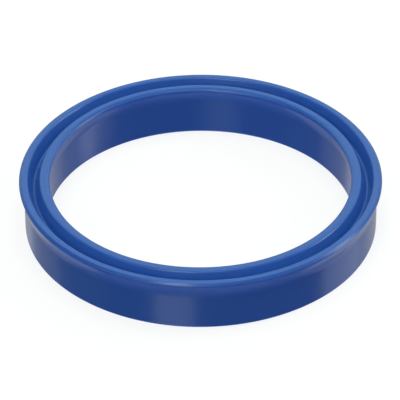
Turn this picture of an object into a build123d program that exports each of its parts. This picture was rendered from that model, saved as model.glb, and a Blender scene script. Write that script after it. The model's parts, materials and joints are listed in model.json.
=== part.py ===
"""Rod seal for a hydraulic cylinder: one moulded polyurethane ring with a U-shaped section.

The ring lies on its flat heel with both lips pointing up. The inner lip wipes the rod and stands
in past the heel bore. The outer lip presses on the wall of the housing groove and stands out past
the heel wall. The V groove between the lips has a rounded root and faces the oil pressure, which
spreads the lips. All sizes are in millimetres. The origin is the centre of the heel face, and +Z
points from the heel to the lips.
"""

import os
from math import hypot

from build123d import *

# The whole ring: the rod that it fits, its wall and its height over the lips
ROD_DIAMETER = 70.0
HEEL_WALL = 5.0
HEIGHT = 12.7

# Outer lip, from the heel wall out to the sealing edge and over the bevel to the flat land
OUTER_STANDOUT = 1.15
OUTER_FLARE_HEIGHT = 2.45
OUTER_BEVEL_HEIGHT = 0.55
OUTER_BEVEL_WIDTH = 0.68
OUTER_LAND_WIDTH = 1.32

# Inner lip, from the heel bore in to the sealing edge and over the bevel to the flat land
INNER_STANDIN = 0.85
INNER_FLARE_HEIGHT = 2.45
INNER_BEVEL_HEIGHT = 0.35
INNER_BEVEL_WIDTH = 0.55
INNER_LAND_WIDTH = 1.6

# V groove between the lips, measured from the lands down to the lowest point of its rounded root
GROOVE_DEPTH = 2.55
GROOVE_ROOT_RADIUS = 0.4

# Edges and blends. The lands keep the crisp edges that they are trimmed to
SEALING_EDGE_RADIUS = 0.15
FLARE_BLEND_RADIUS = 3.0
HEEL_CHAMFER = 0.45


def apex_depth(half_mouth: float) -> float:
    """Depth of the sharp V whose flanks touch the root circle at the bottom of the groove."""
    centre_depth = GROOVE_DEPTH - GROOVE_ROOT_RADIUS
    reach = hypot(centre_depth, half_mouth)
    tangent = (reach**2 - GROOVE_ROOT_RADIUS**2) ** 0.5
    numerator = centre_depth * half_mouth + GROOVE_ROOT_RADIUS * tangent
    return half_mouth * numerator / (half_mouth**2 - GROOVE_ROOT_RADIUS**2)


def round_corner(section: Face, corner: Vector, radius: float) -> Face:
    """Round the corner of the section that lies at the given point."""
    vertex = section.vertices().sort_by_distance(corner)[0]
    return section.fillet_2d(radius, [vertex])


def ring_section() -> Face:
    """Half section of the ring in the XZ plane, where X is the radius."""
    bore = ROD_DIAMETER / 2
    wall = bore + HEEL_WALL

    outer_edge = Vector(wall + OUTER_STANDOUT, 0, HEIGHT - OUTER_BEVEL_HEIGHT)
    outer_flare_start = Vector(wall, 0, outer_edge.Z - OUTER_FLARE_HEIGHT)
    outer_land_rim = Vector(outer_edge.X - OUTER_BEVEL_WIDTH, 0, HEIGHT)
    outer_land_mouth = outer_land_rim - Vector(OUTER_LAND_WIDTH, 0, 0)

    inner_edge = Vector(bore - INNER_STANDIN, 0, HEIGHT - INNER_BEVEL_HEIGHT)
    inner_flare_start = Vector(bore, 0, inner_edge.Z - INNER_FLARE_HEIGHT)
    inner_land_rim = Vector(inner_edge.X + INNER_BEVEL_WIDTH, 0, HEIGHT)
    inner_land_mouth = inner_land_rim + Vector(INNER_LAND_WIDTH, 0, 0)

    half_mouth = (outer_land_mouth.X - inner_land_mouth.X) / 2
    mouth_centre = (outer_land_mouth + inner_land_mouth) / 2
    groove_apex = mouth_centre - Vector(0, 0, apex_depth(half_mouth))

    heel_corners = [
        Vector(bore, 0, HEEL_CHAMFER),
        Vector(bore + HEEL_CHAMFER, 0, 0),
        Vector(wall - HEEL_CHAMFER, 0, 0),
        Vector(wall, 0, HEEL_CHAMFER),
    ]
    outer_lip_corners = [outer_flare_start, outer_edge, outer_land_rim, outer_land_mouth]
    inner_lip_corners = [inner_land_mouth, inner_land_rim, inner_edge, inner_flare_start]
    outline = Polyline(
        *heel_corners, *outer_lip_corners, groove_apex, *inner_lip_corners, close=True
    )

    section = make_face(outline.edges()).face()
    section = round_corner(section, groove_apex, GROOVE_ROOT_RADIUS)
    for flare_start in (outer_flare_start, inner_flare_start):
        section = round_corner(section, flare_start, FLARE_BLEND_RADIUS)
    for sealing_edge in (outer_edge, inner_edge):
        section = round_corner(section, sealing_edge, SEALING_EDGE_RADIUS)
    return section


seal_ring = revolve(ring_section(), Axis.Z)

os.makedirs("parts", exist_ok=True)
export_step(seal_ring, "parts/seal_ring.step")
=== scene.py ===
"""Looks of a hydraulic rod seal: one polyurethane ring with a U-shaped section.

The ring stands on its flat heel, with its two lips and the V groove between them on top. Its
section is drawn once as a closed outline, its corners are rounded, and it is spun about the ring's
axis. The studio is a light table inside a dome of lit panels. The panels below the table stand for
its reflection in the ring's walls. Section sizes are in millimetres, and Blender's are in metres.
"""

import json
import logging
import math
from dataclasses import dataclass
from enum import Enum

import bmesh
import bpy
from mathutils import Matrix, Vector


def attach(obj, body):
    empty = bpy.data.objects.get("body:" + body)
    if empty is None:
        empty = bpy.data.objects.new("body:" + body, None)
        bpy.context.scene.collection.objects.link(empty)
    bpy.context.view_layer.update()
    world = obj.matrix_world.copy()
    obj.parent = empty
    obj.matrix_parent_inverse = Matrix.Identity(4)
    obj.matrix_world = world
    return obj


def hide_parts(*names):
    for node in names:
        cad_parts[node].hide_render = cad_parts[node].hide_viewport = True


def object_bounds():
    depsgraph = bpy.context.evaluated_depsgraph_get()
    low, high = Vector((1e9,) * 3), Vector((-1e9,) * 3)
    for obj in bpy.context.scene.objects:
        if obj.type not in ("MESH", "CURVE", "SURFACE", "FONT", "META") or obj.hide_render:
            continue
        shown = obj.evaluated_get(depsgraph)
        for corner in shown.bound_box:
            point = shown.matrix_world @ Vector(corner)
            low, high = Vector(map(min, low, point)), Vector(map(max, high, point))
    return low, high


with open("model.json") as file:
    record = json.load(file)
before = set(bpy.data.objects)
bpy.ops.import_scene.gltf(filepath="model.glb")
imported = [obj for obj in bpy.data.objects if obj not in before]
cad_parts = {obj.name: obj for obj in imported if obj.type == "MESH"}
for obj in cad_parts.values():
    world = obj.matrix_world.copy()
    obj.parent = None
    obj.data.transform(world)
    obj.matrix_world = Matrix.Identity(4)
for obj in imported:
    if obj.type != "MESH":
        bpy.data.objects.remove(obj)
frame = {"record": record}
CAD_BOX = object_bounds()

MM = 0.001
IMAGE_WIDTH_PX = 400
SENSOR_WIDTH_MM = 36.0
ORIGIN = (0.0, 0.0, 0.0)
UP = (0.0, 0.0, 1.0)

WHITE = "ffffff"
# The faint cyan that most of the panels above the table share
DAYLIGHT = "eefffa"

log = logging.getLogger("rod_seal")


class Body(Enum):
    """The body of the frame that a piece rides on."""

    ROOT = "root"


class Slot(Enum):
    """A material slot named in the record."""

    POLYURETHANE = "polyurethane"


class Ray(Enum):
    """Kinds of ray that a studio surface may be hidden from."""

    CAMERA = "visible_camera"
    DIFFUSE = "visible_diffuse"
    GLOSSY = "visible_glossy"
    THROUGH = "visible_transmission"
    SHADOW = "visible_shadow"


class PanelUse(Enum):
    """What a studio panel gives the ring. Each value lists the rays that don't see the panel."""

    LIGHT_AND_SHEEN = (Ray.CAMERA,)
    LIGHT = (Ray.CAMERA, Ray.GLOSSY)
    SHEEN = (Ray.CAMERA, Ray.DIFFUSE, Ray.SHADOW)


def linear_colour(hex_code: str) -> tuple[float, float, float, float]:
    """Turn an sRGB hex code into a linear colour with full alpha.

    Args:
        hex_code: Six hex digits, as in "1f4fa0".

    Returns:
        Red, green, blue and alpha from 0 to 1.
    """
    channels = [int(hex_code[i : i + 2], 16) / 255 for i in (0, 2, 4)]
    red, green, blue = (
        c / 12.92 if c <= 0.04045 else ((c + 0.055) / 1.055) ** 2.4 for c in channels
    )
    return red, green, blue, 1.0


def add_node(
    tree: bpy.types.NodeTree,
    kind: str,
    settings: dict[str, object] | None = None,
    inputs: dict[str | int, object] | None = None,
) -> bpy.types.Node:
    """Add one node to a tree, with its settings and what feeds its sockets.

    Args:
        tree: The node tree of a material or of the world.
        kind: The node's type name.
        settings: Values of the node's own properties.
        inputs: For each socket, a value or the socket that it is linked to.

    Returns:
        The new node.
    """
    node = tree.nodes.new(kind)
    for name, value in (settings or {}).items():
        setattr(node, name, value)
    for socket, value in (inputs or {}).items():
        if isinstance(value, bpy.types.NodeSocket):
            tree.links.new(value, node.inputs[socket])
        else:
            node.inputs[socket].default_value = value
    return node


def new_material(name: str) -> bpy.types.Material:
    """Make a material with an empty node tree."""
    material = bpy.data.materials.new(name)
    material.use_nodes = True
    material.node_tree.nodes.clear()
    return material


def new_object(name: str, bm: bmesh.types.BMesh) -> bpy.types.Object:
    """Turn a finished bmesh into an object at the origin, and free the bmesh.

    Args:
        name: The object's name, also given to its mesh.
        bm: The shape, in metres and in place.

    Returns:
        The new object, linked to the scene.
    """
    mesh = bpy.data.meshes.new(name)
    bm.to_mesh(mesh)
    bm.free()
    obj = bpy.data.objects.new(name, mesh)
    bpy.context.scene.collection.objects.link(obj)
    return obj


def hide_from(obj: bpy.types.Object, *rays: Ray) -> None:
    """Hide a studio surface from some kinds of ray.

    Args:
        obj: The surface.
        rays: The kinds of ray that pass it.
    """
    for ray in rays:
        setattr(obj, ray.value, False)


def mount_radius(name: str) -> float:
    """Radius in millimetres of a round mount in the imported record."""
    mounts = {mount["name"]: mount for mount in frame["record"]["mounts"]}
    return float(mounts[name]["dims"]["r_mm"])


@dataclass(frozen=True)
class MouldedPolyurethane:
    """Blue polyurethane elastomer, moulded and then trimmed at the lips.

    Pigmented polyurethane is dense in colour but lets light in for about a millimetre, the blue
    further than the red, so that its edges glow a little. The pigment lies in faint clouds. The
    polished mould leaves the walls with a soft gloss, and the fine marks of the mould's turning
    run round the ring and draw each reflection out along its axis. Real marks are too fine to show
    at the photograph's size, so they are drawn coarser.
    """

    name: str = "moulded_polyurethane"
    body_colour: str = "2e5bb0"
    shade_colour: str = "2c59ae"
    roughness: float = 0.22
    refractive_index: float = 1.5
    translucency: float = 0.25
    light_depth_mm: float = 0.8
    light_depth_shares: tuple[float, float, float] = (0.2, 0.5, 1.0)
    mark_pitch_mm: float = 0.45
    mark_length_mm: float = 30.0
    mark_height_mm: float = 0.007
    cloud_size_mm: float = 14.0

    def build(self) -> bpy.types.Material:
        """Make the material.

        Returns:
            The material, ready for a piece's slot.
        """
        material = new_material(self.name)
        tree = material.node_tree
        place = add_node(tree, "ShaderNodeTexCoord").outputs["Object"]
        marks = self.turning_marks(tree, place)
        clouds = add_node(
            tree,
            "ShaderNodeTexNoise",
            inputs={"Vector": place, "Scale": 1 / (self.cloud_size_mm * MM), "Detail": 2.0},
        )
        colour = add_node(
            tree,
            "ShaderNodeMix",
            {"data_type": "RGBA"},
            {
                "Factor": clouds.outputs["Fac"],
                "A": linear_colour(self.shade_colour),
                "B": linear_colour(self.body_colour),
            },
        )
        bump = add_node(
            tree,
            "ShaderNodeBump",
            inputs={"Strength": 1.0, "Distance": self.mark_height_mm * MM, "Height": marks},
        )
        shader = add_node(
            tree,
            "ShaderNodeBsdfPrincipled",
            {"subsurface_method": "RANDOM_WALK"},
            {
                "Base Color": colour.outputs["Result"],
                "Roughness": self.roughness,
                "IOR": self.refractive_index,
                "Subsurface Weight": self.translucency,
                "Subsurface Radius": self.light_depth_shares,
                "Subsurface Scale": self.light_depth_mm * MM,
                "Normal": bump.outputs["Normal"],
            },
        )
        add_node(tree, "ShaderNodeOutputMaterial", inputs={"Surface": shader.outputs["BSDF"]})
        return material

    def turning_marks(
        self, tree: bpy.types.NodeTree, place: bpy.types.NodeSocket
    ) -> bpy.types.NodeSocket:
        """Add the fine marks that run round the ring, on its walls and on its lands.

        Args:
            tree: The material's node tree.
            place: Object coordinates, in metres.

        Returns:
            The socket with the marks' height, from 0 to 1.
        """
        across = 1 / (self.mark_pitch_mm * MM)
        along = 1 / (self.mark_length_mm * MM)
        flat = add_node(
            tree,
            "ShaderNodeVectorMath",
            {"operation": "MULTIPLY"},
            {0: place, 1: (1.0, 1.0, 0.0)},
        )
        radius = add_node(
            tree, "ShaderNodeVectorMath", {"operation": "LENGTH"}, {0: flat.outputs["Vector"]}
        )
        stretched = add_node(
            tree,
            "ShaderNodeVectorMath",
            {"operation": "MULTIPLY"},
            {0: place, 1: (along, along, across)},
        )
        step = add_node(
            tree,
            "ShaderNodeMath",
            {"operation": "MULTIPLY"},
            {0: radius.outputs["Value"], 1: across},
        )
        noise = add_node(
            tree,
            "ShaderNodeTexNoise",
            {"noise_dimensions": "4D"},
            {"Vector": stretched.outputs["Vector"], "W": step.outputs["Value"], "Scale": 1.0},
        )
        return noise.outputs["Fac"]


@dataclass(frozen=True)
class Corner:
    """One rounded corner of the ring's section, in millimetres.

    The radius and the height are those of the sharp corner, measured from the ring's axis and from
    its heel. The rounding is the radius of the arc, which is drawn in so many steps.
    """

    radius: float
    height: float
    rounding: float
    steps: int

    @property
    def point(self) -> Vector:
        """The corner in the XZ plane."""
        return Vector((self.radius, 0.0, self.height))


@dataclass(frozen=True)
class SealRing:
    """The seal's one moulded ring. Sizes are in millimetres.

    The free lips stand out past the heel's outside wall and in past its bore. A flare leads up to
    each sealing edge, and above the edge a bevel leads to the land. The bevel and the land of the
    inner lip meet in a wide rounding, which leaves that lip crowned.
    """

    node: str = "seal_ring"
    outer_standout: float = 1.15
    outer_flare_height: float = 2.45
    outer_bevel_height: float = 0.55
    outer_bevel_width: float = 0.68
    outer_land_width: float = 1.32
    inner_standin: float = 1.05
    inner_flare_height: float = 2.4
    inner_bevel_height: float = 0.4
    inner_bevel_width: float = 0.85
    inner_land_width: float = 1.5
    groove_depth: float = 2.55
    groove_mouth_rounding: float = 0.5
    groove_root_rounding: float = 0.4
    outer_edge_rounding: float = 0.35
    inner_edge_rounding: float = 0.5
    outer_rim_rounding: float = 0.15
    inner_rim_rounding: float = 1.6
    flare_blend: float = 7.0
    heel_chamfer: float = 0.45
    heel_edge_rounding: float = 0.08
    weld_distance: float = 0.0005
    heel_steps: int = 4
    flare_steps: int = 10
    edge_steps: int = 8
    outer_rim_steps: int = 5
    inner_rim_steps: int = 6
    mouth_steps: int = 8
    root_steps: int = 10
    steps_round: int = 480

    def build(self, finish: MouldedPolyurethane) -> bpy.types.Object:
        """Model the ring, dress it and put it in the place of its CAD node.

        Args:
            finish: What the ring is made of.

        Returns:
            The finished ring.
        """
        bm = bmesh.new()
        self.draw_section(bm)
        self.spin_section(bm)
        ring = new_object("moulded_ring", bm)
        for face in ring.data.polygons:
            face.use_smooth = True
        ring.data.materials.append(finish.build())
        weighted = ring.modifiers.new("even_shading", "WEIGHTED_NORMAL")
        weighted.keep_sharp = True
        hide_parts(self.node)
        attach(ring, Body.ROOT.value)
        return ring

    def corners(self) -> list[Corner]:
        """List the section's corners, up the outside, over the lips and down the bore.

        Returns:
            The corners in order, the first at the foot of the outside wall.
        """
        bore = mount_radius("rod_bore")
        wall = mount_radius("heel_outside")
        top = CAD_BOX[1].z / MM
        outer_edge = wall + self.outer_standout
        inner_edge = bore - self.inner_standin
        outer_rim = outer_edge - self.outer_bevel_width
        inner_rim = inner_edge + self.inner_bevel_width
        outer_mouth = outer_rim - self.outer_land_width
        inner_mouth = inner_rim + self.inner_land_width
        outer_edge_height = top - self.outer_bevel_height
        inner_edge_height = top - self.inner_bevel_height
        outer_flare_foot = outer_edge_height - self.outer_flare_height
        inner_flare_foot = inner_edge_height - self.inner_flare_height
        apex_radius = (outer_mouth + inner_mouth) / 2
        apex_height = top - self.apex_depth((outer_mouth - inner_mouth) / 2)
        chamfer = self.heel_chamfer
        heel = (self.heel_edge_rounding, self.heel_steps)
        flare = (self.flare_blend, self.flare_steps)
        mouth = (self.groove_mouth_rounding, self.mouth_steps)
        return [
            Corner(wall - chamfer, 0.0, *heel),
            Corner(wall, chamfer, *heel),
            Corner(wall, outer_flare_foot, *flare),
            Corner(outer_edge, outer_edge_height, self.outer_edge_rounding, self.edge_steps),
            Corner(outer_rim, top, self.outer_rim_rounding, self.outer_rim_steps),
            Corner(outer_mouth, top, *mouth),
            Corner(apex_radius, apex_height, self.groove_root_rounding, self.root_steps),
            Corner(inner_mouth, top, *mouth),
            Corner(inner_rim, top, self.inner_rim_rounding, self.inner_rim_steps),
            Corner(inner_edge, inner_edge_height, self.inner_edge_rounding, self.edge_steps),
            Corner(bore, inner_flare_foot, *flare),
            Corner(bore, chamfer, *heel),
            Corner(bore + chamfer, 0.0, *heel),
        ]

    def apex_depth(self, half_mouth: float) -> float:
        """Depth of the sharp V whose flanks touch the root circle at the bottom of the groove.

        Args:
            half_mouth: Half of the groove's width between the lands.

        Returns:
            The depth below the lands.
        """
        centre_depth = self.groove_depth - self.groove_root_rounding
        reach = math.hypot(centre_depth, half_mouth)
        tangent = math.sqrt(reach**2 - self.groove_root_rounding**2)
        numerator = centre_depth * half_mouth + self.groove_root_rounding * tangent
        return half_mouth * numerator / (half_mouth**2 - self.groove_root_rounding**2)

    def draw_section(self, bm: bmesh.types.BMesh) -> None:
        """Draw the closed outline of the section and round its corners.

        Args:
            bm: An empty bmesh, which gets the outline in millimetres.
        """
        corners = self.corners()
        verts = [bm.verts.new(corner.point) for corner in corners]
        for start, end in zip(verts, verts[1:] + verts[:1]):
            bm.edges.new((start, end))
        count = len(corners)
        for i, (corner, vert) in enumerate(zip(corners, verts)):
            arriving = corner.point - corners[i - 1].point
            leaving = corners[(i + 1) % count].point - corner.point
            arc_start = corner.rounding * math.tan(arriving.angle(leaving) / 2)
            bmesh.ops.bevel(
                bm,
                geom=[vert],
                offset=arc_start,
                offset_type="OFFSET",
                segments=corner.steps,
                profile=0.5,
                affect="VERTICES",
                clamp_overlap=False,
                material=-1,
            )

    def spin_section(self, bm: bmesh.types.BMesh) -> None:
        """Spin the outline once round the Z axis and bring the ring to metres.

        Args:
            bm: The bmesh that holds the outline alone.
        """
        bmesh.ops.spin(
            bm,
            geom=bm.verts[:] + bm.edges[:],
            cent=ORIGIN,
            axis=UP,
            dvec=ORIGIN,
            angle=math.tau,
            steps=self.steps_round,
            use_merge=True,
        )
        bmesh.ops.remove_doubles(bm, verts=bm.verts[:], dist=self.weld_distance)
        bmesh.ops.recalc_face_normals(bm, faces=bm.faces[:])
        bmesh.ops.scale(bm, vec=(MM, MM, MM), verts=bm.verts[:])


@dataclass(frozen=True)
class Glow:
    """A surface that only gives light, such as a lit cloth or a bright card."""

    name: str
    brightness: float
    colour: str

    def build(self) -> bpy.types.Material:
        """Make the material.

        Returns:
            The material, ready for a panel's slot.
        """
        material = new_material(self.name)
        tree = material.node_tree
        light = add_node(
            tree,
            "ShaderNodeEmission",
            inputs={"Color": linear_colour(self.colour), "Strength": self.brightness},
        )
        add_node(tree, "ShaderNodeOutputMaterial", inputs={"Surface": light.outputs["Emission"]})
        return material


@dataclass(frozen=True)
class DomePanel:
    """A curved lit panel of the light dome. Angles are in degrees and lengths in metres.

    Azimuths are counted from +X towards +Y, so that the camera stands at 270, and elevations up
    from the table's level. The camera doesn't see the panel itself.
    """

    name: str
    azimuths: tuple[float, float]
    elevations: tuple[float, float]
    brightness: float
    colour: str = WHITE
    distance: float = 10.0
    use: PanelUse = PanelUse.LIGHT_AND_SHEEN
    steps: int = 12
    weld_distance: float = 0.0001

    def build(self) -> bpy.types.Object:
        """Spin the panel from one point, weld its seam and its pole, and light it.

        Returns:
            The panel.
        """
        first, last = (math.radians(angle) for angle in self.azimuths)
        low, high = (math.radians(angle) for angle in self.elevations)
        bm = bmesh.new()
        bm.verts.new(Matrix.Rotation(-low, 3, "Y") @ Vector((self.distance, 0.0, 0.0)))
        for axis, angle in (((0.0, -1.0, 0.0), high - low), (UP, last - first)):
            bmesh.ops.spin(
                bm,
                geom=bm.verts[:] + bm.edges[:],
                cent=ORIGIN,
                axis=axis,
                dvec=ORIGIN,
                angle=angle,
                steps=self.steps,
                use_merge=False,
            )
        turn = Matrix.Rotation(first, 3, "Z")
        bmesh.ops.rotate(bm, verts=bm.verts[:], cent=ORIGIN, matrix=turn)
        bmesh.ops.remove_doubles(bm, verts=bm.verts[:], dist=self.weld_distance)
        panel = new_object(self.name, bm)
        panel.data.materials.append(Glow(self.name, self.brightness, self.colour).build())
        hide_from(panel, *self.use.value)
        return panel


@dataclass(frozen=True)
class PhotoCamera:
    """The photograph's camera, as fitted to the ring's outlines in it.

    Angles are in degrees, lengths in millimetres and the focal length in the photo's pixels.
    """

    elevation: float = 36.43
    distance: float = 748.1
    aim_sideways: float = -0.145
    aim_height: float = 5.57
    roll: float = -0.32
    focal_px: float = 3274.3
    nearest: float = 50.0
    farthest: float = 20000.0

    def build(self) -> bpy.types.Object:
        """Make the camera and give it to the scene.

        Returns:
            The camera's object.
        """
        data = bpy.data.cameras.new("camera")
        data.sensor_width = SENSOR_WIDTH_MM
        data.lens = self.focal_px / IMAGE_WIDTH_PX * SENSOR_WIDTH_MM
        data.clip_start = self.nearest * MM
        data.clip_end = self.farthest * MM
        camera = bpy.data.objects.new("camera", data)
        bpy.context.scene.collection.objects.link(camera)
        up = math.radians(self.elevation)
        place = Vector((0.0, -math.cos(up), math.sin(up))) * self.distance * MM
        aim = Vector((self.aim_sideways, 0.0, self.aim_height)) * MM
        turn = (aim - place).to_track_quat("-Z", "Y").to_matrix().to_4x4()
        roll = Matrix.Rotation(math.radians(self.roll), 4, "Z")
        camera.matrix_world = Matrix.Translation(place) @ turn @ roll
        bpy.context.scene.camera = camera
        return camera


@dataclass(frozen=True)
class LightTable:
    """Opal acrylic top of a light table, matt and lit from below, so that shadows stay faint."""

    name: str = "light_table"
    colour: str = WHITE
    glow: float = 0.82
    reflectance: float = 0.2

    def build(self) -> bpy.types.Material:
        """Make the acrylic's material.

        Returns:
            The material, ready for the floor's slot.
        """
        material = new_material(self.name)
        tree = material.node_tree
        colour = linear_colour(self.colour)
        shade = tuple(self.reflectance * channel for channel in colour[:3]) + (1.0,)
        acrylic = add_node(tree, "ShaderNodeBsdfDiffuse", inputs={"Color": shade})
        light = add_node(
            tree, "ShaderNodeEmission", inputs={"Color": colour, "Strength": self.glow}
        )
        both = add_node(
            tree,
            "ShaderNodeAddShader",
            inputs={0: acrylic.outputs["BSDF"], 1: light.outputs["Emission"]},
        )
        add_node(tree, "ShaderNodeOutputMaterial", inputs={"Surface": both.outputs["Shader"]})
        return material


@dataclass(frozen=True)
class Studio:
    """The light table, the dome of lit panels and the light of the room. Lengths are in metres.

    A panel that stands nearer hides what lies behind it from the rays that see it. The lamps are
    the broad lights straight above and below. What stands at the window distance is a bright patch
    in front of the dome, and the cards are small and close to the ring.
    """

    floor_size: float = 6.0
    lamp_distance: float = 9.0
    window_distance: float = 8.0
    card_distance: float = 0.16
    bore_card_distance: float = 0.045
    room_colour: str = "502024"
    backdrop_colour: str = WHITE

    def build(self) -> list[bpy.types.Object]:
        """Set up the floor, the room and the panels.

        Returns:
            The panels, from the one overhead to the cards.
        """
        self.floor()
        self.room()
        return [panel.build() for panel in self.sky() + self.table_glow() + self.cards()]

    def sky(self) -> list[DomePanel]:
        """List the panels above the table, which light the ring and show in its lips.

        Returns:
            The lamp overhead, the back, the right, the front and the left.
        """
        lamp = self.lamp_distance
        window = self.window_distance
        light = PanelUse.LIGHT
        sheen = PanelUse.SHEEN
        return [
            DomePanel("top_light", (0.0, 360.0), (72.0, 90.0), 5.2, "f2ffec", lamp, light),
            DomePanel("top_sheen", (0.0, 360.0), (72.0, 90.0), 0.9, DAYLIGHT, use=sheen),
            DomePanel("back_low", (35.0, 145.0), (0.0, 22.0), 0.64, DAYLIGHT),
            DomePanel("back_high", (35.0, 145.0), (22.0, 48.0), 1.1, "e2fff0"),
            DomePanel("right_low", (-10.0, 20.0), (0.0, 25.0), 0.75, DAYLIGHT),
            DomePanel("right_low_side", (20.0, 35.0), (0.0, 25.0), 0.45, DAYLIGHT),
            DomePanel("right_window_low", (-8.0, 12.0), (0.0, 28.0), 3.2, DAYLIGHT, window, sheen),
            DomePanel("right_high", (-10.0, 35.0), (25.0, 62.0), 0.42, DAYLIGHT),
            DomePanel("right_window", (5.0, 20.0), (28.0, 50.0), 4.7, DAYLIGHT, window),
            DomePanel("right_window_side", (20.0, 35.0), (38.0, 62.0), 1.7, DAYLIGHT, window),
            DomePanel("right_window_edge", (-10.0, 5.0), (25.0, 38.0), 3.0, DAYLIGHT, window),
            DomePanel("front_left", (200.0, 236.0), (20.0, 48.0), 1.05, DAYLIGHT),
            DomePanel("front_middle", (236.0, 270.0), (20.0, 48.0), 2.75, DAYLIGHT),
            DomePanel("front_right", (270.0, 340.0), (20.0, 48.0), 0.64, DAYLIGHT),
            DomePanel("front_window", (236.0, 258.0), (55.0, 72.0), 6.0, DAYLIGHT, window),
            DomePanel("left_low", (145.0, 200.0), (0.0, 30.0), 0.22, DAYLIGHT),
        ]

    def table_glow(self) -> list[DomePanel]:
        """List the panels below the table, which stand for its bright top seen in the walls.

        Returns:
            The front, the right, the back, the left and the lamp underneath.
        """
        lamp = self.lamp_distance
        window = self.window_distance
        light = PanelUse.LIGHT
        sheen = PanelUse.SHEEN
        return [
            DomePanel("low_front_window", (240.6, 265.6), (-62.0, -12.0), 0.31),
            DomePanel("low_right", (-5.0, 40.0), (-62.0, 0.0), 0.39),
            DomePanel("low_right_window", (-8.0, 40.0), (-24.0, 0.0), 3.2, WHITE, window, sheen),
            DomePanel("low_back", (40.0, 120.0), (-62.0, 0.0), 0.58, "fffff3"),
            DomePanel("low_left", (120.0, 165.0), (-62.0, 0.0), 0.43),
            DomePanel("low_left_edge", (112.0, 127.0), (-45.0, -28.0), 0.72, WHITE, window, sheen),
            DomePanel("low_far_left", (165.0, 205.0), (-62.0, 0.0), 0.13),
            DomePanel("under_light", (0.0, 360.0), (-90.0, -62.0), 7.2, WHITE, lamp, light),
        ]

    def cards(self) -> list[DomePanel]:
        """List the cards below the ring, so close that each shows in one stretch of wall alone.

        Returns:
            The cards for the front of the outside wall, for its right and for the bore's left.
        """
        card = self.card_distance
        bore_card = self.bore_card_distance
        sheen = PanelUse.SHEEN
        return [
            DomePanel("near_card", (243.5, 266.2), (-35.0, -22.0), 1.02, WHITE, card, sheen),
            DomePanel("side_card", (-14.0, 22.0), (-38.0, -24.0), 0.85, WHITE, card, sheen),
            DomePanel("bore_card", (44.5, 59.0), (-46.0, -33.0), 1.6, WHITE, bore_card, sheen),
        ]

    def floor(self) -> bpy.types.Object:
        """Lay the light table's top under the ring.

        Only the camera sees it. Reflections and soft light come from the panels below it.

        Returns:
            The floor.
        """
        bm = bmesh.new()
        bmesh.ops.create_grid(bm, x_segments=1, y_segments=1, size=self.floor_size / 2)
        floor = new_object("floor", bm)
        floor.data.materials.append(LightTable().build())
        hide_from(floor, Ray.DIFFUSE, Ray.GLOSSY, Ray.THROUGH, Ray.SHADOW)
        return floor

    def room(self) -> None:
        """Light the room dimly, with a white backdrop that only the camera sees."""
        world = bpy.data.worlds.new("room")
        world.use_nodes = True
        tree = world.node_tree
        tree.nodes.clear()
        rays = add_node(tree, "ShaderNodeLightPath")
        colour = add_node(
            tree,
            "ShaderNodeMix",
            {"data_type": "RGBA"},
            {
                "Factor": rays.outputs["Is Camera Ray"],
                "A": linear_colour(self.room_colour),
                "B": linear_colour(self.backdrop_colour),
            },
        )
        light = add_node(
            tree, "ShaderNodeBackground", inputs={"Color": colour.outputs["Result"]}
        )
        add_node(tree, "ShaderNodeOutputWorld", inputs={"Surface": light.outputs["Background"]})
        bpy.context.scene.world = world


def main() -> None:
    """Build the ring, the studio and the camera in turn, and report each."""
    logging.basicConfig(level=logging.INFO, format="%(name)s: %(message)s")
    ring = SealRing().build(MouldedPolyurethane())
    log.info("%s: %d faces", ring.name, len(ring.data.polygons))
    panels = Studio().build()
    log.info("studio: %d panels", len(panels))
    camera = PhotoCamera().build()
    log.info("camera: %.1f mm lens", camera.data.lens)
    bpy.context.scene.view_settings.view_transform = "Standard"


if __name__ == "__main__":
    main()
